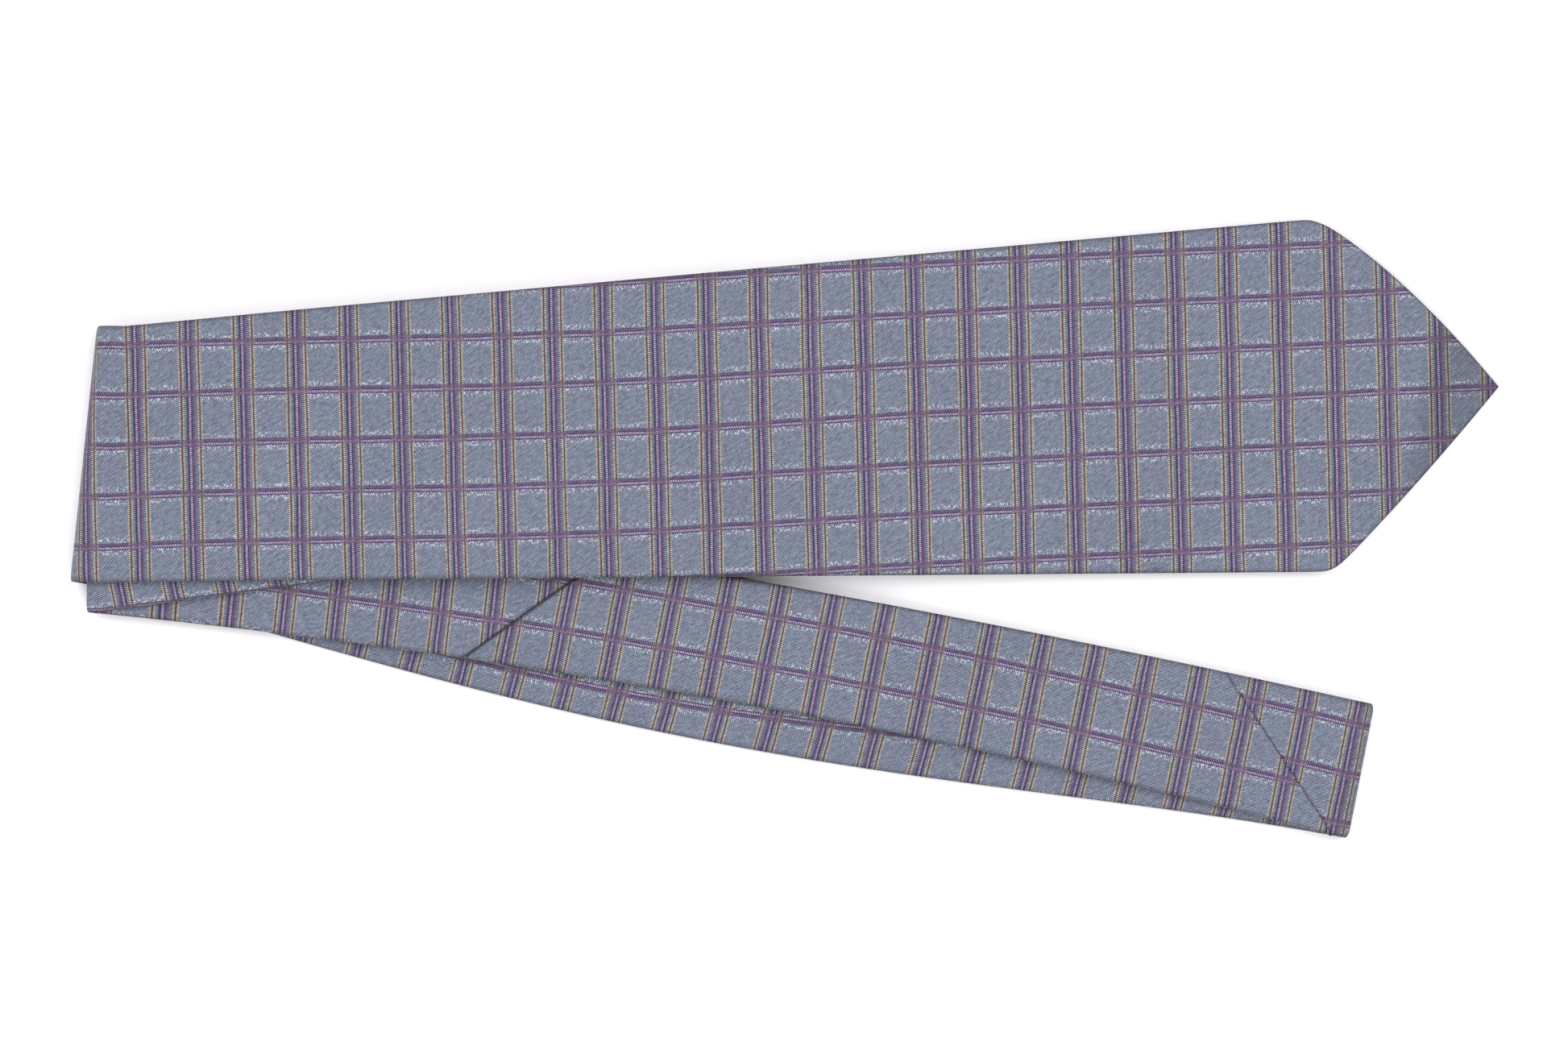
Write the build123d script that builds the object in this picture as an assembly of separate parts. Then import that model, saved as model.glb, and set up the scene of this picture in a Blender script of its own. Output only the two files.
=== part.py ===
"""A gentleman's necktie, put away flat: folded in half and in half again.

Four layers lie on each other, from the table up: the under layer, the neck layer, the tail
layer and the wide blade. Two creases on the left (the blade's outside, the tail's inside it)
open together like a book; the half fold on the right joins the under and neck layers.
Units are millimetres. +X runs towards the blade's point, +Y across the tie, +Z up.
The origin is on the table, under the middle of the folded tie.
"""

from build123d import *
from math import cos, radians, sin, tan
import os

os.makedirs("parts", exist_ok=True)

# Make-up of one layer: a silk shell round an interlining.
LAYER = 2.0  # thickness of one finished layer
SKIN = 0.35  # shell cloth
SIDE_TURN = 0.9  # cloth and air at a turned side edge
LINING_FREE = 0.05  # room between interlining and shell
BACK_GAP = 0.6  # slit where the two turned flaps meet along the back
OUTER_GAP = 0.8  # between the blade and the tail layer, and between the under and neck layers
INNER_GAP = 0.2  # between the neck and the tail layer

# Heights of the underside of each layer.
UNDER_Z = 0.0
NECK_Z = UNDER_Z + LAYER + OUTER_GAP
TAIL_Z = NECK_Z + LAYER + INNER_GAP
BLADE_Z = TAIL_Z + LAYER + OUTER_GAP
STACK_TOP = BLADE_Z + LAYER

# Creases: the fold's outermost line, its middle, and how far its top leans to the right.
BLADE_CREASE = (-190.3, 20.0)
BLADE_CREASE_LEAN = 6.0
TAIL_CREASE = (-189.2, -4.4)
TAIL_CREASE_LEAN = 1.0
HALF_FOLD = (157.8, -66.1)
HALF_FOLD_LEAN = 11.1
BLADE_CREASE_R = STACK_TOP / 2
TAIL_CREASE_R = (TAIL_Z + LAYER - NECK_Z) / 2
HALF_FOLD_R = (NECK_Z + LAYER - UNDER_Z) / 2

# Wide blade.
BLADE_ANGLE = 2.79
BLADE_LENGTH = 386.2  # crease to point
BLADE_POINT = 47.7  # shoulders to point
BLADE_W_CREASE = 68.5
BLADE_W_SHOULDER = 96.5
BLADE_BULGE = (1.4, 3.6)  # how far the point's two sides swell, lower and upper
# Under layer, from the blade's crease to the half fold, bowed towards -Y.
UNDER_W_END = 37.4
UNDER_BOW = -11.4
UNDER_EXTRA = -7.0  # added to the mid-length width
# Neck layer, from the half fold to the tail's crease, bowed towards +Y.
NECK_W_MID = 33.7
NECK_W_TAIL = 36.8
NECK_BOW = 5.4
# Tail layer.
TAIL_ANGLE = 8.5
TAIL_LENGTH = 345.0
TAIL_POINT = 23.0
TAIL_W_SHOULDER = 46.0
TAIL_BULGE = (1.0, 1.0)

# How the two upper layers come down to the table beyond the layers under them.
SAG_FROM = -45.0
SAG_TO = 115.0
SAG = TAIL_Z
TIP_SAG_FROM = 157.0
TIP_SAG_TO = 190.0
TIP_SAG = 2.4

# Joining seams, at 45 degrees to the neck, measured back from the half fold.
FIRST_SEAM = 21.0
SECOND_SEAM = 227.0

# Backs of the blades: where the turned flaps part, and the hem round the point.
BLADE_PART = 118.0  # from the point
TAIL_PART = 74.0
HEM = 11.0
TIPPING = 0.25

# Things sewn on the back of the wide blade.
KEEPER_AT = 168.0  # from the point
KEEPER_WIDE = 46.0
KEEPER_DEEP = 13.0
STRAP = 0.35
LABEL_AT = 205.0
LABEL_SIZE = (62.0, 26.0)
LABEL_THICK = 0.3
CARE_AT = 250.0
CARE_SIZE = (24.0, 16.0)
ON_BACK = 0.06  # clearance of sewn-on things from the cloth

# Threads.
THREAD_R = 0.09
STITCH = 3.2
STITCH_PITCH = 8.0
SEAM_STITCH = 1.1
SEAM_PITCH = 2.3
TACK_LONG = 7.0
TACK_WIDE = 1.2
TACK_HIGH = 0.4
TACK_INSET = 1.6
TACK_STITCH = 2.0
TACK_R = 0.06


def keep(name, shape):
    """Write one sub-part to its own STEP file."""
    export_step(shape, f"parts/{name}.step")


def heading(angle):
    """Unit vector at an angle from +X."""
    return Vector(cos(radians(angle)), sin(radians(angle)), 0)


def crease_frame(middle, lean):
    """A crease's middle, the direction along it and the direction into the layers."""
    return Vector(*middle, 0), heading(90 - lean), heading(-lean)


def cut_by_line(start, direction, point, along):
    """Where the line from start in a direction meets the line through point."""
    normal = Vector(-along.Y, along.X, 0)
    return start + direction * ((point - start).dot(normal) / direction.dot(normal))


def prism(face, low, high):
    """A flat slab of a face between two heights."""
    return extrude(Pos(0, 0, low) * face, amount=high - low)


def sag_at(x):
    """How far the upper layers have come down at x, in two straight slopes."""
    first = min(max((x - SAG_FROM) / (SAG_TO - SAG_FROM), 0), 1) * SAG
    second = min(max((x - TIP_SAG_FROM) / (TIP_SAG_TO - TIP_SAG_FROM), 0), 1) * TIP_SAG
    return first + second


def sagging(face, low, high):
    """A slab of a face whose height follows the sag along X."""
    xs = [-220, SAG_FROM, SAG_TO, TIP_SAG_FROM, TIP_SAG_TO, 220]
    under = [(x, low - sag_at(x)) for x in xs]
    over = [(x, high - sag_at(x)) for x in reversed(xs)]
    profile = make_face(Plane.XZ * Polyline(*under, *over, close=True))
    return extrude(profile, amount=150, both=True) & prism(face, -20, 20)


class Straight:
    """A straight layer that starts at a crease and ends in a 90 degree point."""

    def __init__(self, crease, lean, radius, angle, length, point, widths, bulge):
        middle, self.along, inward = crease_frame(crease, lean)
        self.origin, self.axis = middle, heading(angle)
        self.side = Vector(-self.axis.Y, self.axis.X, 0)
        self.start = middle + inward * radius
        self.length, self.point = length, point
        self.w_start, self.w_end = widths
        self.bulge = bulge

    def at(self, along, across=0.0):
        return self.origin + self.axis * along + self.side * across

    def half(self, along):
        body = self.length - self.point
        share = min(max(along / body, 0), 1)
        return (self.w_start + (self.w_end - self.w_start) * share) / 2

    def corner(self, sign, inset):
        """Where a side edge meets the line at which the crease's curve begins."""
        foot = self.at(0, sign * (self.half(0) - inset))
        body = self.length - self.point
        far = self.at(body, sign * (self.half(body) - inset))
        return cut_by_line(foot, (far - foot).normalized(), self.start, self.along)

    def outline(self, inset=0.0):
        """The layer's outline in plan, pulled in by an inset at its sides and point."""
        w = self.half(self.length) - inset
        tip = self.length - inset * 2**0.5
        turn = tip - w * self.point / self.half(self.length)
        low, high = self.at(turn, -w), self.at(turn, w)
        point = self.at(tip)
        sides = Polyline(low, self.corner(-1, inset), self.corner(1, inset), high)
        for shoulder, sign, bulge in ((low, -1, self.bulge[0]), (high, 1, self.bulge[1])):
            outward = (self.axis + self.side * sign).normalized()
            sides += ThreePointArc(shoulder, (shoulder + point) / 2 + outward * bulge, point)
        return make_face(sides)


class Bowed:
    """A layer between two folds, whose middle line and edges are shallow arcs."""

    def __init__(self, first, second, bow, widths):
        (a_mid, self.a_along, a_in), ra = first
        (b_mid, self.b_along, b_in), rb = second
        self.a, self.b = a_mid + a_in * ra, b_mid + b_in * rb
        self.chord = (self.b - self.a).normalized()
        self.side = Vector(-self.chord.Y, self.chord.X, 0)
        self.run = (self.b - self.a).length
        self.bow, self.widths = bow, widths

    def edge(self, sign, inset):
        """Start, middle and end of one side edge; sign 0 is the middle line."""
        w = [sign * (width / 2 - inset) for width in self.widths]
        middle = self.a + self.chord * (self.run / 2) + self.side * (self.bow + w[1])
        start = cut_by_line(self.a + self.side * w[0], self.chord, self.a, self.a_along)
        end = cut_by_line(self.b + self.side * w[2], self.chord, self.b, self.b_along)
        return start, middle, end

    def outline(self, inset=0.0):
        low, high = self.edge(-1, inset), self.edge(1, inset)
        sides = ThreePointArc(*low) + Line(low[2], high[2])
        sides += ThreePointArc(*reversed(high)) + Line(high[0], low[0])
        return make_face(sides)

    def back_slit(self):
        """A narrow strip along the middle line, a little longer than the layer."""
        line = ThreePointArc(*self.edge(0, 0))
        a, b = line @ 0, line @ 1
        one = a - (line % 0) * 3
        two = b + (line % 1) * 3
        return make_face(offset_strip([one, a, line @ 0.5, b, two], BACK_GAP / 2))


def offset_strip(points, half):
    """A closed outline half a width either side of a gently bending line."""
    left, right = [], []
    for i, p in enumerate(points):
        before, after = points[max(i - 1, 0)], points[min(i + 1, len(points) - 1)]
        d = (after - before).normalized()
        left.append(p + Vector(-d.Y, d.X, 0) * half)
        right.append(p - Vector(-d.Y, d.X, 0) * half)
    return Polyline(*left, *reversed(right), close=True)


def half_ring(crease, radius, width, thin=0.0, ends=0.0):
    """The half round of one layer at a fold, pulled in all round to make room inside."""
    middle, along, inward = crease
    centre_height = FOLD_HEIGHT[radius]
    centre = middle + inward * radius + Vector(0, 0, centre_height)
    plane = Plane(origin=centre, x_dir=inward, z_dir=along)
    outer, inner = radius - thin, radius - LAYER + thin
    ring = Circle(outer) - Circle(inner) if inner > 0 else Circle(outer)
    ring &= Pos(-radius, 0) * Rectangle(2 * radius, 4 * radius)
    return extrude(plane * ring, amount=width / 2 - ends, both=True)


FOLD_HEIGHT = {
    BLADE_CREASE_R: STACK_TOP / 2,
    TAIL_CREASE_R: (NECK_Z + TAIL_Z + LAYER) / 2,
    HALF_FOLD_R: (UNDER_Z + NECK_Z + LAYER) / 2,
}

blade_crease = crease_frame(BLADE_CREASE, BLADE_CREASE_LEAN)
tail_crease = crease_frame(TAIL_CREASE, TAIL_CREASE_LEAN)
half_middle, half_along, half_right = crease_frame(HALF_FOLD, HALF_FOLD_LEAN)
half_fold = (half_middle, half_along, half_right * -1)

blade = Straight(
    BLADE_CREASE, BLADE_CREASE_LEAN, BLADE_CREASE_R, BLADE_ANGLE, BLADE_LENGTH,
    BLADE_POINT, (BLADE_W_CREASE, BLADE_W_SHOULDER), BLADE_BULGE,
)
tail = Straight(
    TAIL_CREASE, TAIL_CREASE_LEAN, TAIL_CREASE_R, TAIL_ANGLE, TAIL_LENGTH,
    TAIL_POINT, (NECK_W_TAIL, TAIL_W_SHOULDER), TAIL_BULGE,
)
under_mid_w = (BLADE_W_CREASE + UNDER_W_END) / 2 + UNDER_EXTRA
under = Bowed(
    (blade_crease, BLADE_CREASE_R), (half_fold, HALF_FOLD_R),
    UNDER_BOW, (BLADE_W_CREASE, under_mid_w, UNDER_W_END),
)
neck = Bowed(
    (half_fold, HALF_FOLD_R), (tail_crease, TAIL_CREASE_R),
    -NECK_BOW, (UNDER_W_END, NECK_W_MID, NECK_W_TAIL),
)

LINING_IN = SKIN + LINING_FREE
LINING_SIDE = SIDE_TURN + 0.3  # how far the interlining stays inside a layer's sides


# Wide blade and tail: shell, interlining and tipping.
def bladed_layer(layer, z, slab, back_up, part_at, name):
    """Shell, interlining and tipping of a layer that ends in a point."""
    solid = slab(layer.outline(), z, z + LAYER)
    cavity = slab(layer.outline(SIDE_TURN), z + SKIN, z + LAYER - SKIN)
    long_cavity = cavity + slab(start_cut(layer, SIDE_TURN), z + SKIN, z + LAYER - SKIN)
    back = z + LAYER - SKIN if back_up else z
    slit = slab(centre_slit(layer, part_at), back - 1, back + SKIN + 1)
    window = slab(parted_flaps(layer, part_at, 0), back - 0.01, back + SKIN + 0.01)
    slit &= slab(layer.outline(-5), back - 0.01, back + SKIN + 0.01)
    keep(f"{name}_shell", solid - long_cavity - slit - window)
    lining = slab(layer.outline(LINING_SIDE), z + LINING_IN, z + LAYER - LINING_IN)
    keep(f"{name}_interlining", lining)
    panel = slab(parted_flaps(layer, part_at, 0.4), back + 0.03, back + 0.03 + TIPPING)
    keep(f"{name}_tipping", panel)


def start_cut(layer, inset):
    """A strip just before the layer's start, so that the shell is open towards its crease."""
    low, high = layer.corner(-1, inset), layer.corner(1, inset)
    back = layer.axis * -3
    return make_face(Polyline(low, high, high + back, low + back, close=True))


def centre_slit(layer, part_at):
    """The slit between the flaps, from the crease to where they part."""
    line = [layer.at(-3), layer.at(layer.length - part_at + 1)]
    return make_face(offset_strip(line, BACK_GAP / 2))


def parted_flaps(layer, part_at, inset):
    """The kite between the parted flaps and the hem round the point."""
    w = layer.half(layer.length)
    shoulder = layer.length - layer.point
    hem_slant = HEM * 2**0.5 + inset
    side = w - HEM * 1.1 - inset
    points = [
        layer.at(layer.length - part_at + inset * 3),
        layer.at(shoulder - HEM * 0.7, -side),
        layer.at(layer.length - hem_slant),
        layer.at(shoulder - HEM * 0.7, side),
    ]
    return make_face(Polyline(*points, close=True))


bladed_layer(blade, BLADE_Z, sagging, False, BLADE_PART, "blade")
bladed_layer(tail, TAIL_Z, sagging, True, TAIL_PART, "tail")


# Under and neck layers.
def tube_of(layer, z, back_up):
    """Solid, through cavity and back slit of a layer that is open at both ends."""
    solid = prism(layer.outline(), z, z + LAYER)
    cavity = prism(layer.outline(SIDE_TURN), z + SKIN, z + LAYER - SKIN)
    back = z + LAYER - SKIN if back_up else z
    slit = prism(layer.back_slit(), back - 0.01, back + SKIN + 0.01)
    return solid - cavity - slit


keep("under_shell", tube_of(under, UNDER_Z, True))
keep(
    "under_interlining",
    prism(under.outline(LINING_SIDE), UNDER_Z + LINING_IN, UNDER_Z + LAYER - LINING_IN),
)
neck_tube = tube_of(neck, NECK_Z, False)
neck_middle = ThreePointArc(*neck.edge(0, 0))


def seam_frame(distance, turn):
    """Middle of a joining seam on the neck's middle line, and the way the seam runs."""
    middle = neck_middle.position_at(distance / neck_middle.length)
    forward = neck_middle.tangent_at(distance / neck_middle.length)
    return middle, forward.rotate(Axis.Z, turn)


def behind_seam(seam, forward):
    """A large block on the far side of a seam, to part the tube there."""
    middle, run = seam
    big = run * 90
    step = forward * 460
    face = make_face(Polyline(middle - big, middle + big, middle + big + step,
                              middle - big + step, close=True))
    return prism(face, -5, 25)


first_seam = seam_frame(FIRST_SEAM, 45)
second_seam = seam_frame(SECOND_SEAM, -45)
past_first = behind_seam(first_seam, neck.chord)
past_second = behind_seam(second_seam, neck.chord)
keep("under_shell_end", neck_tube - past_first)
keep("neck_shell", (neck_tube & past_first) - past_second)
keep("tail_shell_start", neck_tube & past_second)
keep(
    "neck_interlining",
    prism(neck.outline(LINING_SIDE), NECK_Z + LINING_IN, NECK_Z + LAYER - LINING_IN),
)


# Folds: shell and interlining go round each one.
def fold(name, crease, radius, width):
    """Shell and interlining where one layer turns back on itself."""
    outside = half_ring(crease, radius, width)
    room = half_ring(crease, radius, width, SKIN, SIDE_TURN)
    keep(f"{name}_shell", outside - room)
    lining = half_ring(crease, radius, width, LINING_IN, LINING_SIDE)
    keep(f"{name}_interlining", lining)


fold("blade_crease", blade_crease, BLADE_CREASE_R, BLADE_W_CREASE)
fold("tail_crease", tail_crease, TAIL_CREASE_R, NECK_W_TAIL)
fold("half_fold", half_fold, HALF_FOLD_R, UNDER_W_END)


# Things sewn on the back of the wide blade, lying against its underside.
def on_back(along, size, thick, gap=ON_BACK):
    """A plain panel against the blade's underside, centred on its middle line."""
    long, wide = size
    corners = [(-long / 2, -wide / 2), (long / 2, -wide / 2), (long / 2, wide / 2),
               (-long / 2, wide / 2)]
    points = [blade.at(BLADE_LENGTH - along + u, v) for u, v in corners]
    face = make_face(Polyline(*points, close=True))
    return sagging(face, BLADE_Z - gap - thick, BLADE_Z - gap)


keep("keeper_loop", on_back(KEEPER_AT, (KEEPER_DEEP, KEEPER_WIDE), STRAP))
keep("back_label", on_back(LABEL_AT, (LABEL_SIZE[1], LABEL_SIZE[0]), LABEL_THICK))
keep("care_label", on_back(CARE_AT, (CARE_SIZE[1], CARE_SIZE[0]), LABEL_THICK))


# Threads. Each stitch is a short round bar; a row of them is one node.
def stitch(middle, run, length, radius=THREAD_R):
    """One stitch lying along a direction."""
    start = middle - run * (length / 2)
    return extrude(Plane(origin=start, z_dir=run) * Circle(radius), amount=length)


def stitch_row(places, length, lean):
    """Stitches at a list of (place, direction), each turned by a lean in plan."""
    bars = [stitch(p, run.rotate(Axis.Z, lean), length) for p, run in places]
    return Compound(children=bars)


def row_along(start, end, z, pitch):
    """Places every pitch along a straight line that follows the sag."""
    count = int((end - start).length / pitch)
    run = (end - start).normalized()
    spots = [start + run * (pitch * (i + 0.5)) for i in range(count)]
    return [(Vector(p.X, p.Y, z - sag_at(p.X)), run) for p in spots]


def row_on_arc(line, z, pitch):
    """Places every pitch along a bowed middle line."""
    count = int(line.length / pitch)
    shares = [(i + 0.5) / count for i in range(count)]
    spots = [(line.position_at(s), line.tangent_at(s)) for s in shares]
    return [(Vector(p.X, p.Y, z), t) for p, t in spots]


SLIP_LEAN = 12
blade_seam = (blade.at(14), blade.at(BLADE_LENGTH - CARE_AT - 14))
tail_seam = (tail.at(10), tail.at(TAIL_LENGTH - TAIL_PART - 10))
keep("blade_slip_stitch",
     stitch_row(row_along(*blade_seam, BLADE_Z - 0.2, STITCH_PITCH), STITCH, SLIP_LEAN))
keep("tail_slip_stitch",
     stitch_row(row_along(*tail_seam, TAIL_Z + LAYER + 0.15, STITCH_PITCH), STITCH, SLIP_LEAN))
under_middle = ThreePointArc(*under.edge(0, 0))
keep("under_slip_stitch",
     stitch_row(row_on_arc(under_middle, UNDER_Z + LAYER + 0.15, STITCH_PITCH), STITCH, SLIP_LEAN))
keep("neck_slip_stitch",
     stitch_row(row_on_arc(neck_middle, NECK_Z - 0.15, STITCH_PITCH), STITCH, SLIP_LEAN))


def seam_thread(seam, width):
    """Short stitches along a joining seam, just above the neck's face."""
    middle, run = seam
    reach = run * (width / 2 * 2**0.5 - 3)
    places = row_along(middle - reach, middle + reach, 0, SEAM_PITCH)
    z = NECK_Z + LAYER + 0.1
    flat = [(Vector(p.X, p.Y, z), r) for p, r in places]
    return Compound(children=[stitch(p, r, SEAM_STITCH, 0.08) for p, r in flat])


keep("first_seam_thread", seam_thread(first_seam, UNDER_W_END))
keep("second_seam_thread", seam_thread(second_seam, NECK_W_MID))


def corner_tacks(along, size, below):
    """Four short stitches holding the corners of something sewn on the blade's back."""
    long, wide = size[0] / 2 - TACK_INSET, size[1] / 2 - TACK_INSET
    spots = [blade.at(BLADE_LENGTH - along + u, v) for u in (-long, long) for v in (-wide, wide)]
    z = BLADE_Z - below - ON_BACK / 3 - TACK_R
    places = [(Vector(p.X, p.Y, z - sag_at(p.X)), blade.side) for p in spots]
    return Compound(children=[stitch(p, run, TACK_STITCH, TACK_R) for p, run in places])


keep("keeper_stitches", corner_tacks(KEEPER_AT, (KEEPER_DEEP, KEEPER_WIDE), ON_BACK + STRAP))
keep("label_stitches",
     corner_tacks(LABEL_AT, (LABEL_SIZE[1], LABEL_SIZE[0]), ON_BACK + LABEL_THICK))


def bar_tack(layer, part_at, top):
    """The thick thread tack that closes the slip stitch where the flaps part."""
    middle = layer.at(layer.length - part_at - 4)
    corners = [(-TACK_WIDE / 2, -TACK_LONG / 2), (TACK_WIDE / 2, -TACK_LONG / 2),
               (TACK_WIDE / 2, TACK_LONG / 2), (-TACK_WIDE / 2, TACK_LONG / 2)]
    points = [middle + layer.axis * u + layer.side * v for u, v in corners]
    return sagging(make_face(Polyline(*points, close=True)), top - TACK_HIGH, top)


keep("blade_bar_tack", bar_tack(blade, BLADE_PART, BLADE_Z - ON_BACK))
keep("tail_bar_tack", bar_tack(tail, TAIL_PART, TAIL_Z + LAYER + ON_BACK + TACK_HIGH))
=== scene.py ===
"""The cloth of a folded necktie: woven silk shells, interlining, tipping, labels and threads.

Every layer of the tie is one section (two flaps, two turned sides, a face) carried along the
layer. All places are worked out in millimetres and put into meshes in metres.
"""

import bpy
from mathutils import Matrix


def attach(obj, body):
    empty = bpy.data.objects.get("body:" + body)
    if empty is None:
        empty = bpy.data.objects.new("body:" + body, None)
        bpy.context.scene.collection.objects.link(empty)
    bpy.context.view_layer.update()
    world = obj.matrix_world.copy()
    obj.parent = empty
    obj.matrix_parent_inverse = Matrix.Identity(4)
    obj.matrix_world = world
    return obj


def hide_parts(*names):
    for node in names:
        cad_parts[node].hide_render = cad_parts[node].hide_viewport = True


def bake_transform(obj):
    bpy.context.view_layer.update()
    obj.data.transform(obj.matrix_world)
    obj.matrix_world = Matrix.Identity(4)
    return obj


bl_info = {
    "name": "Folded Necktie",
    "version": (1, 0, 0),
    "blender": (4, 5, 0),
    "location": "3D View > Sidebar > Necktie",
    "description": "Makes the cloth, linings, labels and stitching of a necktie folded twice",
    "category": "Add Mesh",
}

import math

import bmesh
import bpy
import numpy as np
from bpy.props import FloatProperty, FloatVectorProperty, PointerProperty

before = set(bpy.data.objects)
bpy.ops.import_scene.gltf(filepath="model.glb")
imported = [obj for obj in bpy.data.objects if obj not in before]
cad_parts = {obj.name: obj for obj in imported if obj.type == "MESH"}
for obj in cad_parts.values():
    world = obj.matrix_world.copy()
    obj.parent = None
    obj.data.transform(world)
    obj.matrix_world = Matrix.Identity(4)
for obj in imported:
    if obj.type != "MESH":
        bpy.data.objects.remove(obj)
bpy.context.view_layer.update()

MM = 0.001
LIGHT_GAIN = 1.85  # how much brighter the stage shows a matt surface than its own colour

# Layer make-up, in millimetres.
LAYER = 2.0  # thickness of one layer of the tie
ROLL = 2.4  # how far a turned side reaches in from the edge
SLIT = 0.3  # half the slit between the flaps
FLAT = 3.0  # flat cloth kept on both sides of a fold's curve
FACE_COLUMNS, FLAP_COLUMNS = 22, 9  # quads across half a face, and across a flap
SIDE_COLUMNS = 12  # quads round a turned side
DIAGONAL = 1.414  # length of a line at 45 degrees over its reach, for hems and points
SEAM_COSINE = 0.707  # the joining seams slant at 45 degrees
SOFT_CORNER = 1.3  # rounding of the shoulders
BLADE_PINCH, TAIL_PINCH = 0.38, 0.6  # share of a layer's thickness halfway round each crease
WALL = 0.36  # depth of silk on both sides of the lining there

# Heights of the faces of the four layers.
UNDER_LOW = 0.0
NECK_TOP = 4.8
TAIL_LOW = 5.0
BLADE_TOP = 9.8

# Wide blade and tail. angle is in plan, in degrees; length is from the crease to the tip and
# point the tip's share of it; start and end are widths at the crease and the shoulders; bulge
# is the swelling of the point's two sides; the flaps part at part before the tip; hem is the
# width of the turned cloth behind the point.
BLADE = {"angle": 2.79, "length": 386.2, "point": 47.7, "start": 68.5, "end": 96.5,
         "bulge": (0.8, 2.8), "part": 118.0, "hem": 11.0}
TAIL = {"angle": 8.5, "length": 345.0, "point": 23.0, "start": 36.8, "end": 46.0,
        "bulge": (1.0, 1.0), "part": 74.0, "hem": 7.0}

# Tapes on the blade's back: distance of the middle from the tip, length along the tie and
# width across it, thickness, and how far the middle stands off.
KEEPER = {"from_tip": 168, "long": 13.0, "wide": 46.0, "thick": 0.3, "bulge": 0.28}
LABEL = {"from_tip": 205, "long": 26.0, "wide": 62.0, "thick": 0.28, "bulge": 0.06}
CARE_LABEL = {"from_tip": 250, "long": 16.0, "wide": 24.0, "thick": 0.22, "bulge": 0.1}


def smooth(t):
    """0 before 0, 1 after 1, and t squared times (3 - 2t) between."""
    t = np.clip(t, 0, 1)
    return t * t * (3 - 2 * t)


def heading(degrees):
    """Unit vector in plan at an angle from +X."""
    return np.array([math.cos(math.radians(degrees)), math.sin(math.radians(degrees))])


def sag(x):
    """How far the two upper layers have come down at x: one long slope and one at the point."""
    return 5.0 * smooth((x + 62) / 196) + 2.3 * smooth((x - 148) / 48)


def ripple(x, y, z_share=1.0):
    """Slow waves of hand-folded cloth: three crossed sines, faded out near the folds."""
    fade = smooth((x + 172) / 40) * smooth((105 - x) / 35)
    waves = (
        0.11 * np.sin(x / 23.0 + y / 31.0)
        + 0.08 * np.sin(x / 11.0 - y / 17.0 + 1.3)
        + 0.06 * np.sin(x / 41.0 + y / 9.0 + 0.4)
    )
    return waves * fade * z_share


class Fold:
    """A place where the tie turns back on itself, as a half round between two layers.

    place(run, along, depth): run is the distance along the cloth from the fold's outermost
    line, negative on the lower layer; along is the distance along that line; depth is the
    distance in from the fold's outer face. Within a quarter turn of the outermost line the
    point lies on a circle of the fold's radius less the depth, and beyond it on a flat layer.
    """

    def __init__(self, middle, lean, low, high, opens=1):
        self.middle = np.array(middle)
        self.into = heading(-lean) * opens
        self.along = heading(90 - lean)
        self.radius = (high - low) / 2
        self.height = (high + low) / 2
        self.quarter = self.radius * math.pi / 2

    def place(self, run, along, depth):
        turn = np.clip(run / self.radius, -math.pi / 2, math.pi / 2)
        reach = self.radius - depth
        beyond = np.maximum(np.abs(run) - self.quarter, 0)
        inward = self.radius - reach * np.cos(turn) + beyond
        inward = np.where(beyond > 0, self.radius + beyond, inward)
        plan = self.middle + inward[..., None] * self.into + along[..., None] * self.along
        height = self.height + reach * np.sin(turn)
        return np.concatenate([plan, height[..., None]], axis=-1)

    def measure(self, points):
        """Inward and along distances of points in plan."""
        rel = points[..., :2] - self.middle
        return rel @ self.into, rel @ self.along


blade_fold = Fold((-190.3, 20.0), 6.0, UNDER_LOW, BLADE_TOP)
tail_fold = Fold((-189.2, -4.4), 1.0, NECK_TOP - LAYER, TAIL_LOW + LAYER)
half_fold = Fold((157.8, -66.1), 11.1, UNDER_LOW, NECK_TOP, opens=-1)

# The two pointed layers: how each is cut, its fold, whether its face is up, and the face's height.
BLADE_LAYER = (BLADE, blade_fold, True, BLADE_TOP)
TAIL_LAYER = (TAIL, tail_fold, False, TAIL_LOW)


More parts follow.
